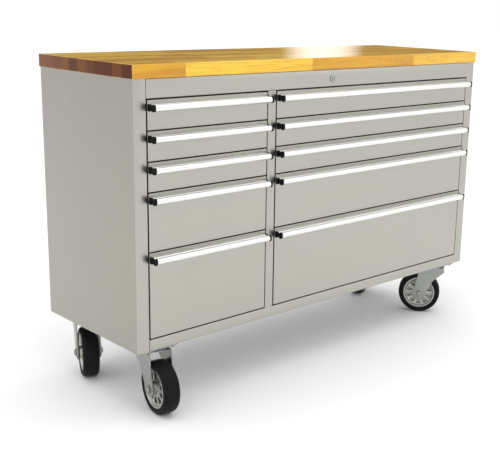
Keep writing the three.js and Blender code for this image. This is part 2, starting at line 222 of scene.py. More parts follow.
def worktop_wood():
    """Strip-glued hardwood under clear varnish: staves differ in tone, ends show end grain."""
    material, tree, shader = new_material("varnished_staves", Coat_Roughness=0.1, Specular_IOR_Level=0.15)
    coords = add(tree, "ShaderNodeTexCoord")
    place = coords.outputs["Object"]
    axes = add(tree, "ShaderNodeSeparateXYZ", {0: place}).outputs
    strip = math_node(tree, "DIVIDE", math_node(tree, "SUBTRACT", axes[1], FRONT), STAVE_WIDTH)
    strip_number = math_node(tree, "FLOOR", strip)
    strip_noise = add(tree, "ShaderNodeTexWhiteNoise", {"W": strip_number}, noise_dimensions="1D")
    run = math_node(tree, "ADD", math_node(tree, "DIVIDE", axes[0], STAVE_LENGTH),
                    math_node(tree, "MULTIPLY", strip_noise.outputs["Value"], 7.3))
    run_number = math_node(tree, "FLOOR", run)
    stave = add(tree, "ShaderNodeCombineXYZ", {0: run_number, 1: strip_number, 2: 0.37}).outputs[0]
    stave_noise = add(tree, "ShaderNodeTexWhiteNoise", {"Vector": stave}, noise_dimensions="3D")
    stave_random, stave_colour = stave_noise.outputs["Value"], stave_noise.outputs["Color"]

    moved = added(tree, place, stave_colour)
    figure = noise(tree, scaled(tree, moved, (2.2, 34, 34)), 1.0, 3.0, 0.55, 1.2)
    grain = noise(tree, scaled(tree, moved, (9, 240, 240)), 1.0, 4.0, 0.6)
    pores = noise(tree, scaled(tree, moved, (26, 1100, 1100)), 1.0, 2.0, 0.5)
    knots = add(tree, "ShaderNodeTexVoronoi", {
        "Vector": scaled(tree, moved, (3.1, 9, 9)), "Scale": 1.0}).outputs["Distance"]

    tone = math_node(
        tree, "ADD", math_node(tree, "MULTIPLY", stave_random, 0.6), math_node(tree, "MULTIPLY", figure, 0.4))
    ramp = add(tree, "ShaderNodeValToRGB", {0: tone})
    stops = [
        (0.12, (0.44, 0.17, 0.012)), (0.34, (0.74, 0.38, 0.024)),
        (0.62, (0.92, 0.56, 0.045)), (0.9, (0.97, 0.69, 0.10))]
    elements = ramp.color_ramp.elements
    while len(elements) < len(stops):
        elements.new(0.5)
    for element, (position, colour) in zip(elements, stops):
        element.position = position
        element.color = (*colour, 1)
    colour = blend_colours(
        tree, remap(tree, grain, 0.42, 0.62, 0.0, 0.38), ramp.outputs[0], (0.52, 0.235, 0.025, 1))
    colour = blend_colours(tree, remap(tree, pores, 0.60, 0.72, 0.0, 0.5), colour, (0.28, 0.11, 0.025, 1))
    colour = blend_colours(tree, remap(tree, knots, 0.045, 0.02, 0.0, 0.75), colour, (0.16, 0.06, 0.02, 1))

    across = math_node(tree, "ABSOLUTE", math_node(tree, "SUBTRACT", math_node(tree, "FRACT", strip), 0.5))
    along = math_node(tree, "ABSOLUTE", math_node(tree, "SUBTRACT", math_node(tree, "FRACT", run), 0.5))
    seam = math_node(tree, "MAXIMUM", remap(tree, across, 0.488, 0.497), remap(tree, along, 0.4985, 0.4997))
    colour = blend_colours(tree, math_node(tree, "MULTIPLY", seam, 0.55), colour, (0.30, 0.125, 0.03, 1))

    normal_x = add(tree, "ShaderNodeSeparateXYZ", {0: coords.outputs["Normal"]}).outputs[0]
    is_end = remap(tree, math_node(tree, "ABSOLUTE", normal_x), 0.6, 0.8)
    rings = add(tree, "ShaderNodeTexWave", {
        "Vector": scaled(tree, moved, (0, 95, 150)), "Scale": 1.0, "Distortion": 5.0, "Detail": 2.0},
        wave_type="RINGS", rings_direction="X").outputs["Fac"]
    ends = blend_colours(tree, rings, (0.062, 0.014, 0.002, 1), (0.115, 0.032, 0.004, 1))
    ends = blend_colours(tree, remap(tree, stave_random, 0.25, 0.8), ends, (0.17, 0.055, 0.009, 1))
    ends = blend_colours(tree, math_node(tree, "MULTIPLY", seam, 0.7), ends, (0.09, 0.03, 0.01, 1))
    colour = blend_colours(tree, is_end, colour, ends)
    tree.links.new(colour, shader.inputs["Base Color"])

    marks = group_node(tree, HANDLING, {"Place": place, "Patch": 6.0, "Speck": 300.0})
    rough = math_node(
        tree, "ADD", remap(tree, grain, 0.3, 0.7, 0.26, 0.38), math_node(tree, "MULTIPLY", marks["Smear"], 0.08))
    tree.links.new(rough, shader.inputs["Roughness"])
    coat = math_node(
        tree, "SUBTRACT", remap(tree, is_end, 0.0, 1.0, 0.6, 0.06), math_node(tree, "MULTIPLY", marks["Dust"], 0.2))
    tree.links.new(coat, shader.inputs["Coat Weight"])
    height = math_node(tree, "SUBTRACT", math_node(tree, "MULTIPLY", grain, 0.4), seam)
    tree.links.new(bump(tree, height, 0.25, 0.0004), shader.inputs["Normal"])
    return material


def cast_aluminium():
    material, tree, shader = new_material("cast_aluminium", Metallic=1.0)
    place = object_coordinates(tree)
    grit = noise(tree, place, 900.0, 4.0, 0.65)
    cloud = noise(tree, place, 38.0, 3.0, 0.6)
    colour = blend_colours(tree, cloud, (0.36, 0.35, 0.33, 1), (0.62, 0.61, 0.58, 1))
    tree.links.new(colour, shader.inputs["Base Color"])
    tree.links.new(remap(tree, grit, 0.3, 0.7, 0.32, 0.55), shader.inputs["Roughness"])
    tree.links.new(bump(tree, grit, 0.5, 0.0003), shader.inputs["Normal"])
    return material


def zinc_plate():
    material, tree, shader = new_material("zinc_plate", Metallic=1.0)
    place = object_coordinates(tree)
    mottle = noise(tree, place, 60.0, 4.0, 0.6, 0.6)
    film = noise(tree, place, 14.0, 2.0, 0.5)
    marks = group_node(tree, HANDLING, {"Place": place, "Patch": 22.0, "Speck": 520.0})
    colour = blend_colours(tree, mottle, (0.27, 0.28, 0.265, 1), (0.40, 0.415, 0.40, 1))
    colour = blend_colours(tree, remap(tree, film, 0.55, 0.8, 0.0, 0.3), colour, (0.56, 0.54, 0.46, 1))
    tree.links.new(colour, shader.inputs["Base Color"])
    rough = math_node(
        tree, "ADD", remap(tree, mottle, 0.3, 0.7, 0.26, 0.4), math_node(tree, "MULTIPLY", marks["Dust"], 0.2))
    tree.links.new(rough, shader.inputs["Roughness"])
    tree.links.new(bump(tree, mottle, 0.2, 0.0003), shader.inputs["Normal"])
    return material


def tyre_rubber():
    material, tree, shader = new_material("tyre_rubber", Specular_IOR_Level=0.1)
    place = object_coordinates(tree)
    fine = noise(tree, place, 1400.0, 3.0, 0.6)
    wear = noise(tree, place, 46.0, 4.0, 0.6, 0.5)
    marks = group_node(tree, HANDLING, {"Place": place, "Patch": 30.0, "Speck": 620.0})
    colour = blend_colours(tree, wear, (0.004, 0.004, 0.0045, 1), (0.010, 0.0098, 0.0095, 1))
    colour = blend_colours(tree, math_node(tree, "MULTIPLY", marks["Dust"], 0.08), colour, (0.12, 0.11, 0.10, 1))
    tree.links.new(colour, shader.inputs["Base Color"])
    tree.links.new(remap(tree, wear, 0.3, 0.7, 0.42, 0.62), shader.inputs["Roughness"])
    tree.links.new(bump(tree, fine, 0.3, 0.0003), shader.inputs["Normal"])
    return material


def black_plastic():
    material, tree, shader = new_material("black_plastic", Specular_IOR_Level=0.12)
    place = object_coordinates(tree)
    grain = noise(tree, place, 2200.0, 2.0, 0.5)
    wear = noise(tree, place, 90.0, 3.0, 0.6)
    colour = blend_colours(tree, wear, (0.003, 0.003, 0.0035, 1), (0.007, 0.007, 0.0075, 1))
    tree.links.new(colour, shader.inputs["Base Color"])
    tree.links.new(remap(tree, wear, 0.3, 0.7, 0.3, 0.48), shader.inputs["Roughness"])
    tree.links.new(bump(tree, grain, 0.3, 0.0001), shader.inputs["Normal"])
    return material


STEEL_COLOUR = (0.455, 0.447, 0.402)
BRUSHED_LEVEL, BRUSHED_UPRIGHT = (5, 620, 620), (620, 620, 5)
FRONT_STEEL = brushed_metal("brushed_front", STEEL_COLOUR, BRUSHED_LEVEL)
STILE_STEEL = brushed_metal("brushed_frame", STEEL_COLOUR, BRUSHED_UPRIGHT, seed=3.1)
# Same stainless as the fronts, copied with a darker base colour: painted shade for the side, which takes less light
SHADED_SIDE_STEEL = brushed_metal("brushed_side_painted_shade", (0.368, 0.356, 0.316), BRUSHED_UPRIGHT, seed=5.7)
INNER_STEEL = brushed_metal("galvanised_inner", (0.50, 0.51, 0.50), (30, 60, 60), (0.35, 0.5), 0.06, seed=8.2)
HANDLE_METAL = brushed_metal(
    "anodised_handle", (0.86, 0.86, 0.835), (1.5, 420, 420), (0.27, 0.32), 0.01, relief=0.000004, seed=1.3)
LOCK_METAL = brushed_metal("lock_plating", (0.42, 0.42, 0.41), (300, 300, 300), (0.16, 0.26), 0.03)
WOOD = worktop_wood()
CAST = cast_aluminium()
ZINC = zinc_plate()
RUBBER = tyre_rubber()
PLASTIC = black_plastic()

# ---- Mesh helpers ----


def fillet(points, radius, steps=4):
    """A closed outline with each corner rounded; radius is one number, or one for each corner."""
    count = len(points)
    radii = radius if isinstance(radius, (list, tuple)) else [radius] * count
    corners = [Vector(point) for point in points]
    rounded = []
    for index, corner in enumerate(corners):
        size = radii[index]
        if size <= 0:
            rounded.append(tuple(corner))
            continue
        back = (corners[index - 1] - corner).normalized()
        ahead = (corners[(index + 1) % count] - corner).normalized()
        half = back.angle(ahead) / 2
        centre = corner + (back + ahead).normalized() * (size / math.sin(half))
        start = corner + back * (size / math.tan(half)) - centre
        end = corner + ahead * (size / math.tan(half)) - centre
        first = math.atan2(start.y, start.x)
        sweep = (math.atan2(end.y, end.x) - first + math.pi) % (2 * math.pi) - math.pi
        for step in range(steps + 1):
            angle = first + sweep * step / steps
            rounded.append((centre.x + size * math.cos(angle), centre.y + size * math.sin(angle)))
    return rounded


def arc(centre, radius, start, end, steps):
    """Points along an arc, with angles in degrees."""
    angles = [math.radians(start + (end - start) * step / steps) for step in range(steps + 1)]
    return [(centre[0] + radius * math.cos(a), centre[1] + radius * math.sin(a)) for a in angles]


AXIS_ORDER = {"x": (2, 0, 1), "y": (0, 2, 1), "z": (0, 1, 2)}


def along(axis, a, b, c):
    """The point with outline values a, b and place c along the axis."""
    order = AXIS_ORDER[axis]
    values = (a, b, c)
    return Vector([values[index] for index in order])


def prism(bm, outline, axis, low, high):
    """Adds an outline drawn along an axis. Outline values are (y, z), (x, z) or (x, y)."""
    rings = [[bm.verts.new(along(axis, a, b, place)) for a, b in outline] for place in (low, high)]
    count = len(outline)
    for index in range(count):
        after = (index + 1) % count
        bm.faces.new((rings[0][index], rings[0][after], rings[1][after], rings[1][index]))
    for ring in rings:
        bm.faces.new(ring)


def rectangle(low, high):
    return [(low[0], low[1]), (high[0], low[1]), (high[0], high[1]), (low[0], high[1])]


def block(bm, low, high):
    prism(bm, rectangle(low, high), "z", low[2], high[2])


def open_box(bm, low, high, wall, open_side):
    """A folded sheet box without the face on one side: '+z' for a tray, '+y' for a front pan."""
    axis = "xyz".index(open_side[1])
    inner_low = [low[i] + wall for i in range(3)]
    inner_high = [high[i] - wall for i in range(3)]
    if open_side[0] == "+":
        inner_high[axis] = high[axis]
    else:
        inner_low[axis] = low[axis]

    def corners(a, b):
        return [bm.verts.new((
            (a, b)[(i >> 0) & 1][0], (a, b)[(i >> 1) & 1][1], (a, b)[(i >> 2) & 1][2])) for i in range(8)]

    outer, inner = corners(low, high), corners(inner_low, inner_high)
    sides = {
        "-x": (0, 2, 6, 4), "+x": (1, 5, 7, 3), "-y": (0, 4, 5, 1),
        "+y": (2, 3, 7, 6), "-z": (0, 1, 3, 2), "+z": (4, 6, 7, 5)}
    for side, quad in sides.items():
        if side != open_side:
            bm.faces.new([outer[i] for i in quad])
            bm.faces.new([inner[i] for i in reversed(quad)])
    rim = sides[open_side]
    for index in range(4):
        a, b = rim[index], rim[(index + 1) % 4]
        bm.faces.new((outer[a], outer[b], inner[b], inner[a]))


def circle(bm, radius, axis, centre, height, sides):
    """A ring of corners about an axis through centre."""
    angles = [2 * math.pi * step / sides for step in range(sides)]
    return [
        bm.verts.new(along(axis, radius * math.cos(angle), radius * math.sin(angle), height) + Vector(centre))
        for angle in angles]


def join_rings(bm, rings):
    """Walls between each ring of corners and the next."""
    for near, far in zip(rings, rings[1:]):
        for index in range(len(near)):
            after = (index + 1) % len(near)
            bm.faces.new((near[index], near[after], far[after], far[index]))


def lathe(bm, profile, axis, centre, sides=48):
    """Turns a closed profile of (radius, height) pairs about an axis through centre."""
    rings = []
    for step in range(sides):
        angle = 2 * math.pi * step / sides
        rings.append([
            bm.verts.new(along(axis, radius * math.cos(angle), radius * math.sin(angle), height) + Vector(centre))
            for radius, height in profile])
    join_rings(bm, rings + rings[:1])


def disc(bm, radius, axis, centre, low, high, edge=0.0006, sides=32):
    """A solid round or many-sided boss with softened rims, closed at both ends."""
    levels = [(radius - edge, low), (radius, low + edge), (radius, high - edge), (radius - edge, high)]
    rings = []
    for size, height in levels:
        rings.append(circle(bm, size, axis, centre, height, sides))
    join_rings(bm, rings)
    bm.faces.new(rings[0])
    bm.faces.new(rings[-1])


DOME_SIDES, DOME_STEPS = 28, 6


def dome(bm, radius, height, axis, centre, base, direction):
    """A domed rivet or screw head standing on base, rising in the given direction."""
    rings = []
    for step in range(DOME_STEPS):
        angle = math.pi / 2 * step / DOME_STEPS
        rise = base + direction * height * math.sin(angle)
        rings.append(circle(bm, radius * math.cos(angle), axis, centre, rise, DOME_SIDES))
    tip = bm.verts.new(along(axis, 0, 0, base + direction * height) + Vector(centre))
    join_rings(bm, rings)
    top = rings[-1]
    for turn in range(DOME_SIDES):
        bm.faces.new((top[turn], top[(turn + 1) % DOME_SIDES], tip))
    bm.faces.new(rings[0])


CREASE = 38            # degrees between faces, above which an edge stays sharp
BEVEL_FROM = 30        # degrees between faces, above which an edge is bevelled


def solid(name, build):
    """An object made of what build adds to an empty mesh."""
    bm = bmesh.new()
    build(bm)
    bmesh.ops.recalc_face_normals(bm, faces=bm.faces)
    mesh = bpy.data.meshes.new(name)
    bm.to_mesh(mesh)
    bm.free()
    thing = bpy.data.objects.new(name, mesh)
    bpy.context.scene.collection.objects.link(thing)
    return thing


def piece(name, build, material, body, bevel=None, place=None, stands_for=(), crease=CREASE, segments=2):
    """Makes a piece: build fills its mesh, then it is placed, finished and put on its body."""
    thing = solid(name, build)
    mesh = thing.data
    mesh.materials.append(material)
    mesh.shade_smooth()
    mesh.set_sharp_from_angle(angle=math.radians(crease))
    if bevel:
        edges = thing.modifiers.new("edges", "BEVEL")
        edges.width = bevel
        edges.segments = segments
        edges.limit_method = "ANGLE"
        edges.angle_limit = math.radians(BEVEL_FROM)
        edges.harden_normals = True
    if place is not None:
        thing.matrix_world = place
    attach(thing, body)
    for node in stands_for:
        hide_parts(node)
    return thing


def carve(thing, build):
    """Cuts the solids that build makes out of a piece that has no bevel."""
    cutter = solid("cutter", build)
    cutter.matrix_world = thing.matrix_world
    cut = thing.modifiers.new("cut", "BOOLEAN")
    cut.operation = "DIFFERENCE"
    cut.solver = "EXACT"
    cut.object = cutter
    bpy.context.view_layer.update()
    evaluated = thing.evaluated_get(bpy.context.evaluated_depsgraph_get())
    result = bpy.data.meshes.new_from_object(evaluated)
    old = thing.data
    thing.modifiers.remove(cut)
    thing.data = result
    result.name = old.name
    bpy.data.meshes.remove(old)
    bpy.data.objects.remove(cutter)
    result.shade_smooth()
    result.set_sharp_from_angle(angle=math.radians(CREASE))


# ---- Worktop and cabinet ----

EDGE_ROUND = 0.003


def build_worktop():
    low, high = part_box("worktop")

    def slab(bm):
        prism(bm, fillet(rectangle(low, high), EDGE_ROUND), "z", low[2], high[2])

    piece("worktop_slab", slab, WOOD, CABINET, bevel=0.0022, stands_for=["worktop"], segments=3)


FACES_FRONT = -0.7


def side_panel(side):
    """Wall, front stile, its inward lip and the back flange, folded from one sheet."""
    outer, turn = (LEFT, 1) if side == "left" else (RIGHT, -1)
    inner = STILE_LEFT if side == "left" else STILE_RIGHT
    points = [
        (outer, FRONT), (inner, FRONT), (inner, FRONT + LIP), (inner - turn * SHEET, FRONT + LIP),
        (inner - turn * SHEET, FRONT + SHEET), (outer + turn * SHEET, FRONT + SHEET),
        (outer + turn * SHEET, BACK - SHEET), (outer + turn * LIP, BACK - SHEET),
        (outer + turn * LIP, BACK), (outer, BACK)]
    inside = FOLD - SHEET
    radii = [FOLD, RAIL_FOLD, 0, 0, INNER_FOLD, inside, inside, 0, 0, FOLD]

    def folded(bm):
        prism(bm, fillet(points, radii, 5), "z", BOTTOM, TOP)

    # The wall and back flange take the darker copy of the steel, which is painted shade; faces looking forward keep
    # the front's colour
    thing = piece(f"side_wall_{side}", folded, SHADED_SIDE_STEEL, CABINET,
                  stands_for=[f"side_panel_{side}"])
    thing.data.materials.append(STILE_STEEL)
    for face in thing.data.polygons:
        if face.normal.y < FACES_FRONT:
            face.material_index = 1


def front_rail(name, low, high, lip_low, lip_high, node):
    """A channel rail between the stiles, open to the back."""
    x0, x1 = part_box(node)[0][0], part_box(node)[1][0]
    points = [
        (FRONT, low), (FRONT, high), (FRONT + lip_high, high), (FRONT + lip_high, high - SHEET),
        (FRONT + SHEET, high - SHEET), (FRONT + SHEET, low + SHEET),
        (FRONT + lip_low, low + SHEET), (FRONT + lip_low, low)]
    radii = [RAIL_FOLD, RAIL_FOLD, 0, 0, INNER_FOLD, INNER_FOLD, 0, 0]

    def folded(bm):
        prism(bm, fillet(points, radii), "x", x0, x1)

    return piece(name, folded, FRONT_STEEL, CABINET, stands_for=[node])


LOCK_LOW, LOCK_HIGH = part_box("lock_barrel")
LOCK_X = (LOCK_LOW[0] + LOCK_HIGH[0]) / 2
LOCK_Z = (LOCK_LOW[2] + LOCK_HIGH[2]) / 2
LOCK_AXIS = (LOCK_X, 0, LOCK_Z)
LOCK_HOLE = 0.0098


def build_frame():
    rail = front_rail("top_rail_channel", OPENING_TOP, TOP, RAIL_LIP, RAIL_LIP, "top_rail")
    carve(rail, lambda bm: disc(bm, LOCK_HOLE, "y", LOCK_AXIS, FRONT - 0.005, FRONT + 0.005))
    front_rail("bottom_rail_channel", BOTTOM, OPENING_BOTTOM, SHEET * 1.01, RAIL_LIP, "bottom_rail")
    build_back()
    build_base()
    build_centre()
    for side in SIDES:
        side_panel(side)
        build_inner_panel(side)
    low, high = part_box("rear_rail")
    points = [
        (high[1], low[2]), (high[1], high[2]), (low[1], high[2]), (low[1], high[2] - SHEET),
        (high[1] - SHEET, high[2] - SHEET), (high[1] - SHEET, low[2])]
    folds = [0, RAIL_FOLD, 0, 0, INNER_FOLD, 0]
    piece("rear_rail_angle", lambda bm: prism(bm, fillet(points, folds), "x", low[0], high[0]),
          INNER_STEEL, CABINET, stands_for=["rear_rail"])


RIBS = 4
RIB_HALF, RIB_RISE = 0.011, 0.0012
RIB_SINK = 0.0002
RIB_SHORT = 0.05        # from the ends of the back sheet
RIVET_PITCH = 0.115
RIVET_RADIUS, RIVET_RISE = 0.0042, 0.0016


def build_back():
    """Back sheet with pressed stiffening ribs, riveted to the side flanges."""
    low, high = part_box("back_panel")
    foot, crest = high[1] - RIB_SINK, high[1] + RIB_RISE

    def sheet(bm):
        block(bm, low, high)
        for index in range(RIBS):
            middle = low[0] + (high[0] - low[0]) * (index + 0.5) / RIBS
            outline = [
                (middle - RIB_HALF, foot), (middle - RIB_HALF / 2, crest),
                (middle + RIB_HALF / 2, crest), (middle + RIB_HALF, foot)]
            prism(bm, fillet(outline, [0, 0.003, 0.003, 0]), "z", low[2] + RIB_SHORT, high[2] - RIB_SHORT)

    # The back sheet takes the side's darker steel, which is painted shade
    piece("back_sheet", sheet, SHADED_SIDE_STEEL, CABINET, bevel=0.0004, stands_for=["back_panel"])

    def rivets(bm):
        count = round((TOP - BOTTOM) / RIVET_PITCH)
        for index in range(count):
            z = BOTTOM + (TOP - BOTTOM) * (index + 0.5) / count
            for x in (LEFT + LIP * 0.55, RIGHT - LIP * 0.55):
                dome(bm, RIVET_RADIUS, RIVET_RISE, "y", (x, 0, z), BACK - SEAT, 1)

    piece("back_rivets", rivets, ZINC, CABINET)


def build_base():
    low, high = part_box("base_pan")

    def pan(bm):
        open_box(bm, low, high, SHEET, "+z")

    piece("base_tray", pan, INNER_STEEL, CABINET, bevel=0.0005, stands_for=["base_pan"])


CHANNEL_HALF, CHANNEL_DEPTH, CHANNEL_WALL = 0.0155, 0.0108, 0.0012
SLIDE_INSET = 0.020
SLIDE_FRONT, SLIDE_BACK = FRONT + SLIDE_INSET, BACK - SLIDE_INSET
TRAY_RISE, TRAY_DROP = 0.008, 0.016     # from the drawer front's lower and upper edges


def slide_height(side, row):
    """Middle height of a drawer's slides: halfway up its tray."""
    low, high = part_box(f"drawer_{side}_{row}")
    return (low[2] + TRAY_RISE + high[2] - TRAY_DROP) / 2


def slide_channel(bm, wall, direction, height):
    """Cabinet member of a slide: a C channel whose lips hold the tray's bar."""
    edge, inner = wall + CHANNEL_DEPTH * direction, wall + CHANNEL_WALL * direction
    low, high = height - CHANNEL_HALF, height + CHANNEL_HALF
    points = [
        (wall, low), (wall, high), (edge, high), (edge, high - CHANNEL_WALL), (inner, high - CHANNEL_WALL),
        (inner, low + CHANNEL_WALL), (edge, low + CHANNEL_WALL), (edge, low)]
    radii = [0.001, 0.001, 0.0005, 0, 0.0008, 0.0008, 0, 0.0005]
    prism(bm, fillet(points, radii, 3), "y", SLIDE_FRONT, SLIDE_BACK)


def build_inner_panel(side):
    low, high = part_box(f"inner_panel_{side}")
    face, direction = (STILE_LEFT, 1) if side == "left" else (STILE_RIGHT, -1)
    wall = sorted((face, face - direction * SHEET))

    def panel(bm):
        block(bm, (wall[0], low[1], low[2]), (wall[1], high[1], high[2]))

    piece(f"inner_wall_{side}", panel, INNER_STEEL, CABINET, bevel=0.0004,
          stands_for=[f"inner_panel_{side}"])

    def channels(bm):
        for row in ROWS:
            slide_channel(bm, face + direction * SEAT, direction, slide_height(side, row))

    piece(f"slide_channels_{side}", channels, ZINC, CABINET)


def build_centre():
    """The stile between the columns is the face of a deep channel that carries the inner slides."""
    x0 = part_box("drawer_left_1")[1][0] + GAP
    x1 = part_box("drawer_right_1")[0][0] - GAP
    low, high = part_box("centre_partition")

    behind = FRONT + RAIL_LIP
    points = [
        (x0, behind), (x0, FRONT), (x1, FRONT), (x1, behind), (x1 - SHEET, behind),
        (x1 - SHEET, FRONT + SHEET), (x0 + SHEET, FRONT + SHEET), (x0 + SHEET, behind)]
    outline = fillet(points, [0, RAIL_FOLD, RAIL_FOLD, 0, 0, INNER_FOLD, INNER_FOLD, 0])

    def stile(bm):
        prism(bm, outline, "z", OPENING_BOTTOM + CLEAR, OPENING_TOP - CLEAR)

    def walls(bm):
        for near in (x0, x1 - SHEET):
            block(bm, (near, behind + CLEAR, low[2]), (near + SHEET, high[1], high[2]))

    def channels(bm):
        for row in ROWS:
            slide_channel(bm, x0 - SEAT, -1, slide_height("left", row))
            slide_channel(bm, x1 + SEAT, 1, slide_height("right", row))

    piece("centre_stile", stile, STILE_STEEL, CABINET, stands_for=["centre_partition"])
    piece("centre_walls", walls, INNER_STEEL, CABINET, bevel=0.0004)
    piece("slide_channels_centre", channels, ZINC, CABINET)


# ---- Lock ----


PLUG_RADIUS = 0.0065
KEYWAY_HALF, KEYWAY_RISE, KEYWAY_DEPTH = 0.0011, 0.0042, 0.008
WAFERS, WAFER_PITCH, WAFER_THICK = 5, 0.0013, 0.001
CAM_NUT_RADIUS, CAM_NUT_RISE = 0.0045, 0.0035


def build_lock():
    face = FRONT - CLEAR
    bezel_front = LOCK_LOW[1]

    def barrel(bm):
        profile = [
            (0.0068, bezel_front + 0.0006), (0.0074, bezel_front), (0.0102, bezel_front),
            (0.0115, bezel_front + 0.0007), (0.0120, bezel_front + 0.0017), (0.0120, face),
            (0.0095, face), (0.0095, LOCK_HIGH[1]), (0.0068, LOCK_HIGH[1])]
        lathe(bm, profile, "y", LOCK_AXIS)

    def nut(bm):
        lathe(bm, rectangle((0.0097, FRONT + 0.0016), (0.0135, FRONT + 0.005)), "y", LOCK_AXIS, 6)

    piece("lock_bezel", barrel, LOCK_METAL, CABINET, stands_for=["lock_barrel"])
    piece("lock_nut", nut, ZINC, CABINET, bevel=0.0004)
    low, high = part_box("lock_plug")

    def plug(bm):
        disc(bm, PLUG_RADIUS, "y", LOCK_AXIS, low[1], high[1], 0.0005, 40)

    def keyway(bm):
        """A slot with one ward that stands into it."""
        left, right = LOCK_X - KEYWAY_HALF, LOCK_X + KEYWAY_HALF
        foot, head = LOCK_Z - KEYWAY_RISE, LOCK_Z + KEYWAY_RISE
        outline = [
            (left, foot), (right, foot), (right, LOCK_Z - 0.0006), (LOCK_X + 0.0004, LOCK_Z + 0.0004),
            (right, LOCK_Z + 0.0014), (right, head), (left, head)]
        prism(bm, outline, "y", low[1] - 0.001, low[1] + KEYWAY_DEPTH)

    turning = piece("lock_plug_face", plug, LOCK_METAL, "lock", stands_for=["lock_plug"])
    carve(turning, keyway)

    def wafers(bm):
        """Thin plates across the slot, beside its ward."""
        left, right, rise = LOCK_X - 0.00102, LOCK_X + 0.00035, 0.0041
        for step in range(WAFERS):
            near = low[1] + 0.0011 + step * WAFER_PITCH
            block(bm, (left, near, LOCK_Z - rise), (right, near + WAFER_THICK, LOCK_Z + rise))

    piece("lock_wafers", wafers, PLASTIC, "lock")
    cam_low, cam_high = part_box("lock_cam")

    def cam(bm):
        half = (cam_high[2] - cam_low[2]) / 2
        outline = arc((LOCK_X, LOCK_Z), half, 90, 270, 10)
        outline += [(cam_high[0], cam_low[2]), (cam_high[0], cam_high[2])]
        prism(bm, outline, "y", cam_low[1], cam_high[1])
        disc(bm, CAM_NUT_RADIUS, "y", LOCK_AXIS, cam_high[1] - SEAT, cam_high[1] + CAM_NUT_RISE, 0.0004, 6)

    piece("lock_cam_plate", cam, ZINC, "lock", bevel=0.0004, stands_for=["lock_cam"])


# ---- Drawers ----

FRONT_DEPTH = 0.014
TRAY_WALL = 0.0012
TRAY_CLEAR = 0.013      # from the column's side to the tray, for the slides
HEM = 0.0032
BAR_HALF, BAR_DEPTH, BAR_WALL, BAR_LIP = 0.011, 0.0098, 0.0012, 0.004
CAP_LENGTH = 0.0068


def handle_outline(back, front, centre):
    """Section of the handle: a flat rib on the drawer, a waist, and a rounded grip."""
    rise, waist, lobe = 0.0087, 0.0026, 0.0122
    neck = lobe * 0.92
    outline = [
        (back, centre - rise), (back, centre + rise), (back - lobe, centre + rise), (back - neck, centre + waist),
        (front + neck, centre + waist), (front + lobe, centre + rise), (front, centre + rise),
        (front, centre - rise), (front + lobe, centre - rise), (front + neck, centre - waist),
        (back - neck, centre - waist), (back - lobe, centre - rise)]
    radii = [0.0006, 0.0012, 0.0042, 0.0016, 0.0016, 0.004, 0.0072, 0.0072, 0.004, 0.0016, 0.0016, 0.0042]
    return fillet(outline, radii, 5)


def cap_outline(back, front, centre):
    """Two rounded lobes joined by a narrow waist, like a figure eight on its side."""
    rise, waist, lobe, slope = 0.0092, 0.0034, 0.0108, 0.0010
    outline = [
        (back, centre - rise), (back, centre + rise), (back - lobe, centre + rise),
        (back - lobe - slope, centre + waist), (front + lobe + slope, centre + waist),
        (front + lobe, centre + rise), (front, centre + rise), (front, centre - rise),
        (front + lobe, centre - rise), (front + lobe + slope, centre - waist),
        (back - lobe - slope, centre - waist), (back - lobe, centre - rise)]
    corner, pinch = 0.0046, 0.0005
    return fillet(outline, [corner, corner, corner, pinch, pinch, corner] * 2, 6)


def build_drawer(side, row):
    body = f"drawer_{side}_{row}"
    low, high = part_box(body)
    column_low = STILE_LEFT if side == "left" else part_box("drawer_right_1")[0][0] - GAP
    column_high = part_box("drawer_left_1")[1][0] + GAP if side == "left" else STILE_RIGHT
    x0, x1 = column_low + GAP, column_high - GAP

    def pan(bm):
        open_box(bm, (x0, FRONT, low[2]), (x1, FRONT + FRONT_DEPTH, high[2]), SHEET, "+y")

    piece(f"front_{side}_{row}", pan, FRONT_STEEL, body, bevel=0.0014, stands_for=[body], segments=3)

    tray_low = (column_low + TRAY_CLEAR, FRONT + SHEET + SEAT, low[2] + TRAY_RISE)
    tray_high = (column_high - TRAY_CLEAR, high[1], high[2] - TRAY_DROP)

    def tray(bm):
        """An open tray whose side and back walls are hemmed along the top."""
        open_box(bm, tray_low, tray_high, TRAY_WALL, "+z")
        proud, sunk, foot = HEM * 0.15, HEM * 0.85, tray_high[2] - HEM * 2
        for near in (tray_low[0] - proud, tray_high[0] - sunk):
            block(bm, (near, tray_low[1], foot), (near + HEM, tray_high[1], tray_high[2]))
        block(bm, (tray_low[0], tray_high[1] - sunk, foot), (tray_high[0], tray_high[1] + proud, tray_high[2]))

    piece(f"tray_{side}_{row}", tray, INNER_STEEL, body, bevel=0.0006)

    foot, head = slide_height(side, row) - BAR_HALF, slide_height(side, row) + BAR_HALF
    radii = [0.0005, 0.001, 0.001, 0.0004, 0.0008, 0.0008, 0.0004, 0.001]

    def bars(bm):
        for base, direction in ((tray_low[0], -1), (tray_high[0], 1)):
            edge, inner = base + BAR_DEPTH * direction, base + BAR_WALL * direction
            points = [
                (base, foot), (base, head), (edge, head), (edge, head - BAR_LIP), (inner, head - BAR_WALL),
                (inner, foot + BAR_WALL), (edge, foot + BAR_LIP), (edge, foot)]
            prism(bm, fillet(points, radii, 3), "y", SLIDE_FRONT, tray_high[1])

    piece(f"slide_bars_{side}_{row}", bars, ZINC, body)
    build_handle(side, row, x0, x1, body)


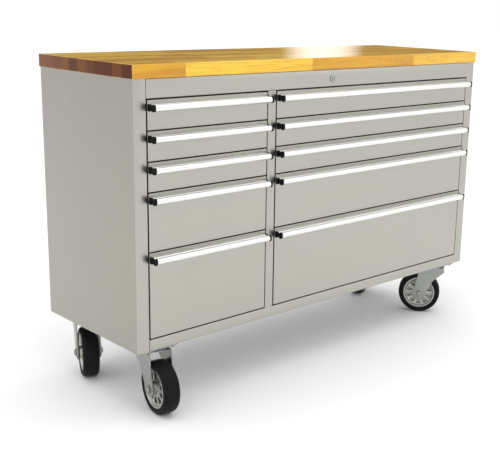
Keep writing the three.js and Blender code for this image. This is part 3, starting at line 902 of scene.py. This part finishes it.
def build_handle(side, row, x0, x1, body):
    low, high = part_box(f"handle_{side}_{row}")
    centre = (low[2] + high[2]) / 2
    back, front = high[1], low[1]

    def bar(bm):
        prism(bm, handle_outline(back, front, centre), "x", x0 + CAP_LENGTH, x1 - CAP_LENGTH)

    piece(f"handle_bar_{side}_{row}", bar, HANDLE_METAL, body,
          stands_for=[f"handle_{side}_{row}"])

    def caps(bm):
        outline = cap_outline(back, front, centre)
        prism(bm, outline, "x", x0, x0 + CAP_LENGTH - SEAT)
        prism(bm, outline, "x", x1 - CAP_LENGTH + SEAT, x1)

    piece(f"handle_caps_{side}_{row}", caps, PLASTIC, body, bevel=0.0011, segments=3)


# ---- Casters ----

JOINTS = {joint["name"]: joint for joint in frame["joints"]}
TRAIL = 0.048
WHEEL_R = 0.075
AXLE_Z = WHEEL_R - BOTTOM
AXLE_AT = (TRAIL, 0, AXLE_Z)
PLATE_X, PLATE_Y = 0.056, 0.05          # half the top plate's length and width
BOLT_X, BOLT_Y = 0.043, 0.037
CROWN_TOP, CROWN_BOTTOM = -0.0125, -0.0185
CROWN_FRONT = 0.034
LEG_BACK, LEG_FRONT, LEG_END = -0.040, 0.050, 0.0215
LEG_INNER, LEG_OUTER = 0.031, 0.036
SPOKES = 10


def caster_places(corner):
    """Where a caster's plate and its turned fork stand: at the body's underside."""
    pivot = JOINTS[f"caster_{corner}_swivel"]["pos_m"]
    axle = JOINTS[f"wheel_{corner}_spin"]["pos_m"]
    yaw = math.atan2(axle[1] - pivot[1], axle[0] - pivot[0])
    fixed = Matrix.Translation((pivot[0], pivot[1], BOTTOM))
    return fixed, fixed @ Matrix.Rotation(yaw, 4, "Z")


def plate(bm):
    corners = rectangle((-PLATE_X, -PLATE_Y), (PLATE_X, PLATE_Y))
    prism(bm, fillet(corners, 0.010, 5), "z", -0.0055, -CLEAR)


def plate_bolts(bm):
    for x in (-BOLT_X, BOLT_X):
        for y in (-BOLT_Y, BOLT_Y):
            disc(bm, 0.0085, "z", (x, y, 0), -0.0071, -0.0054, 0.0003, 28)
            disc(bm, 0.0068, "z", (x, y, 0), -0.0122, -0.0070, 0.0007, 6)


def upper_race(bm):
    profile = [(0.004, -0.0056), (0.030, -0.0056), (0.0335, -0.0066), (0.0345, -0.0085),
               (0.0335, -0.0104), (0.031, -0.0112), (0.004, -0.0112)]
    lathe(bm, profile, "z", (0, 0, 0))


def lower_race(bm):
    profile = [(0.006, -0.0114), (0.0300, -0.0114), (0.0350, -0.0119), (0.0385, -0.0136),
               (0.0395, -0.0150), (0.0395, -0.0172), (0.006, -0.0172)]
    lathe(bm, profile, "z", (0, 0, 0))
    lathe(bm, [(0.002, -0.0175), (0.0125, -0.0175), (0.0125, -0.0245), (0.010, -0.0265), (0.002, -0.0265)],
          "z", (0, 0, 0), 6)


def leg_side():
    """Side of a fork leg in x and z: broad shoulder, curved edges, round end about the axle."""
    tip = arc((TRAIL, AXLE_Z), LEG_END, 212, 366, 14)
    shoulder = [
        (LEG_FRONT + 0.006, AXLE_Z + 0.062), (LEG_FRONT, CROWN_TOP), (LEG_BACK, CROWN_TOP),
        (LEG_BACK, CROWN_TOP - 0.018), (0.000, AXLE_Z + 0.050)]
    return fillet(tip + shoulder, [0] * len(tip) + [0.030, 0.009, 0.007, 0.014, 0.040], 6)


def fork(bm):
    side = leg_side()
    prism(bm, side, "y", LEG_INNER, LEG_OUTER)
    prism(bm, side, "y", -LEG_OUTER, -LEG_INNER)
    reach = LEG_INNER + 0.001
    corners = rectangle((LEG_BACK + 0.004, -reach), (CROWN_FRONT, reach))
    prism(bm, fillet(corners, 0.004, 3), "z", CROWN_BOTTOM, CROWN_TOP - 0.0015)


def axle_bolt(bm):
    """A washer, hexagon and domed end outside each leg, and the shank between them."""
    for side in (-1, 1):
        outer = side * (LEG_OUTER + CLEAR)
        low, high = sorted((outer, outer + side * 0.0018))
        disc(bm, 0.0125, "y", AXLE_AT, low, high, 0.0004)
        low, high = sorted((outer + side * 0.0017, outer + side * 0.0040))
        disc(bm, 0.0095, "y", AXLE_AT, low, high, sides=6)
        dome(bm, 0.0088, 0.0032, "y", AXLE_AT, outer + side * 0.0035, side)
    disc(bm, 0.0058, "y", AXLE_AT, -LEG_OUTER, LEG_OUTER, 0.0003, 24)


def hub(bm):
    profile = [
        (0.0064, -0.029), (0.0165, -0.029), (0.0182, -0.0275), (0.0190, -0.0190), (0.0225, -0.0165),
        (0.0440, -0.0150), (0.0490, -0.0168), (0.0505, -0.0205), (0.0520, -0.0218), (0.0565, -0.0218)]
    profile += [(radius, -height) for radius, height in reversed(profile)]
    lathe(bm, profile, "y", AXLE_AT, 80)


def hub_pockets(bm):
    """Rounded wedge pockets between the spokes, on both faces of a thin middle web."""
    inner, outer, web, past = 0.0265, 0.0465, 0.0022, 0.03
    spread_in, spread_out = math.radians(8.5), math.radians(12.5)
    for index in range(SPOKES):
        middle = 2 * math.pi * (index + 0.5) / SPOKES
        corners = [
            (inner, middle - spread_in), (outer, middle - spread_out),
            (outer, middle + spread_out), (inner, middle + spread_in)]
        wedge = fillet([(TRAIL + r * math.cos(a), AXLE_Z + r * math.sin(a)) for r, a in corners],
                       [0.002, 0.0036, 0.0036, 0.002], 3)
        prism(bm, wedge, "y", web, past)
        prism(bm, wedge, "y", -past, -web)


def tyre(bm):
    half = [
        (0.0573, 0.0225), (0.0600, 0.0238), (0.0625, 0.0232), (0.0640, 0.0243), (0.0668, 0.0243),
        (0.0700, 0.0230), (0.0728, 0.0200), (0.0743, 0.0155), (0.0750, 0.0085)]
    profile = [(r, -w) for r, w in half] + [(r, w) for r, w in reversed(half)]
    lathe(bm, profile, "y", AXLE_AT, 96)


def build_caster(corner):
    fixed, turned = caster_places(corner)
    piece(f"top_plate_{corner}", plate, ZINC, CABINET, bevel=0.0008, place=fixed,
          stands_for=[f"caster_plate_{corner}"])
    piece(f"plate_bolts_{corner}", plate_bolts, ZINC, CABINET, place=fixed, crease=30)
    piece(f"upper_race_{corner}", upper_race, ZINC, CABINET, place=fixed)
    body, wheel = f"caster_{corner}", f"wheel_{corner}"
    piece(f"lower_race_{corner}", lower_race, ZINC, body, place=turned)
    piece(f"fork_legs_{corner}", fork, ZINC, body, bevel=0.0016, place=turned, segments=3,
          stands_for=[f"caster_fork_{corner}"])
    piece(f"axle_bolt_{corner}", axle_bolt, ZINC, body, place=turned, crease=30,
          stands_for=[f"caster_axle_{corner}"])
    core = piece(f"wheel_core_{corner}", hub, CAST, wheel, place=turned,
                 stands_for=[f"wheel_hub_{corner}"], crease=30)
    carve(core, hub_pockets)
    piece(f"tyre_{corner}", tyre, RUBBER, wheel, place=turned,
          stands_for=[f"wheel_tyre_{corner}"], crease=50)


# ---- Camera, floor and light ----

CAMERA_AT = Vector((-1.9848, -2.1098, 1.1183))
AZIMUTH, ELEVATION, ROLL = math.radians(-43.91), math.radians(13.92), math.radians(1.39)
LENS = 65.69
SHIFT_X = -0.09
SENSOR = 36
FAR = 50


def build_camera():
    data = bpy.data.cameras.new("camera")
    data.lens = LENS
    data.sensor_width = SENSOR
    data.shift_x = SHIFT_X
    data.clip_end = FAR
    camera = bpy.data.objects.new("camera", data)
    bpy.context.scene.collection.objects.link(camera)
    back = Vector((
        math.sin(AZIMUTH) * math.cos(ELEVATION), -math.cos(AZIMUTH) * math.cos(ELEVATION), math.sin(ELEVATION)))
    level = Vector((0, 0, 1)).cross(back).normalized()
    upright = back.cross(level)
    right = level * math.cos(ROLL) + upright * math.sin(ROLL)
    up = upright * math.cos(ROLL) - level * math.sin(ROLL)
    camera.matrix_world = Matrix.Translation(CAMERA_AT) @ Matrix((right, up, back)).transposed().to_4x4()
    bpy.context.scene.camera = camera


def area_light(name, location, target, size, power):
    data = bpy.data.lights.new(name, "AREA")
    data.shape = "RECTANGLE"
    data.size, data.size_y = size
    data.energy = power
    light = bpy.data.objects.new(name, data)
    bpy.context.scene.collection.objects.link(light)
    light.location = location
    light.rotation_euler = (Vector(target) - Vector(location)).to_track_quat("-Z", "Y").to_euler()


WINDOW = Vector((0.7115, 0.7027, 0.056)).normalized()
WINDOW_EDGE, WINDOW_CORE = 0.9990, 0.99993      # how closely a direction points at the window
WINDOW_GLOW = 2.2
WALL_BRIGHT, WALL_DIM, CEILING = 0.84, 0.06, 1.22


def build_world():
    """White as seen; for light and reflections, a room bright in front and dim behind on the right."""
    world = bpy.data.worlds.new("studio")
    world.use_nodes = True
    tree = world.node_tree
    direction = add(tree, "ShaderNodeTexCoord").outputs["Generated"]
    axes = add(tree, "ShaderNodeSeparateXYZ", {0: direction}).outputs
    behind = remap(tree, axes[1], -0.2, 0.5)
    right = remap(tree, axes[0], -0.25, 0.3)
    walls = remap(tree, math_node(tree, "MULTIPLY", behind, right), 0.0, 1.0, WALL_BRIGHT, WALL_DIM)
    overhead = remap(tree, axes[2], 0.22, 0.6)
    below = math_node(tree, "SUBTRACT", 1.0, overhead)
    room = math_node(
        tree, "ADD", math_node(tree, "MULTIPLY", walls, below), math_node(tree, "MULTIPLY", overhead, CEILING))
    towards = add(tree, "ShaderNodeVectorMath", {0: direction, 1: WINDOW}, operation="DOT_PRODUCT").outputs["Value"]
    room = math_node(tree, "ADD", room, remap(tree, towards, WINDOW_EDGE, WINDOW_CORE, 0.0, WINDOW_GLOW))
    seen = add(tree, "ShaderNodeLightPath").outputs["Is Camera Ray"]
    unseen = math_node(tree, "SUBTRACT", 1.0, seen)
    strength = math_node(tree, "ADD", seen, math_node(tree, "MULTIPLY", unseen, room))
    background = tree.nodes["Background"]
    background.inputs["Color"].default_value = (1, 1, 1, 1)
    tree.links.new(strength, background.inputs["Strength"])
    bpy.context.scene.world = world


FLOOR_HALF, FLOOR_THICK = 30.0, 0.05
FLOOR_COLOUR = (0.96, 0.96, 0.96, 1)


def build_stage():
    floor = solid("floor", lambda bm: block(
        bm, (-FLOOR_HALF, -FLOOR_HALF, -FLOOR_THICK), (FLOOR_HALF, FLOOR_HALF, 0.0)))
    material, _, _ = new_material("pale_floor", Base_Color=FLOOR_COLOUR, Roughness=0.9, Specular_IOR_Level=0.2)
    floor.data.materials.append(material)
    build_world()
    area_light("overhead", (0.1, -0.5, 3.8), (0, 0, 0.2), (4.4, 3.4), 26)
    area_light("front_fill", (3.4, -3.6, 1.7), (0.3, 0, 0.5), (2.4, 1.6), 9)
    area_light("side_fill", (-4.2, 0.2, 1.9), (-0.7, 0, 0.6), (2.6, 2.0), 6)
    bpy.context.scene.view_settings.view_transform = "Standard"


# ---- Assembly ----

build_worktop()
build_frame()
build_lock()
for side in SIDES:
    for row in ROWS:
        build_drawer(side, row)
for corner in CORNERS:
    build_caster(corner)
build_camera()
build_stage()
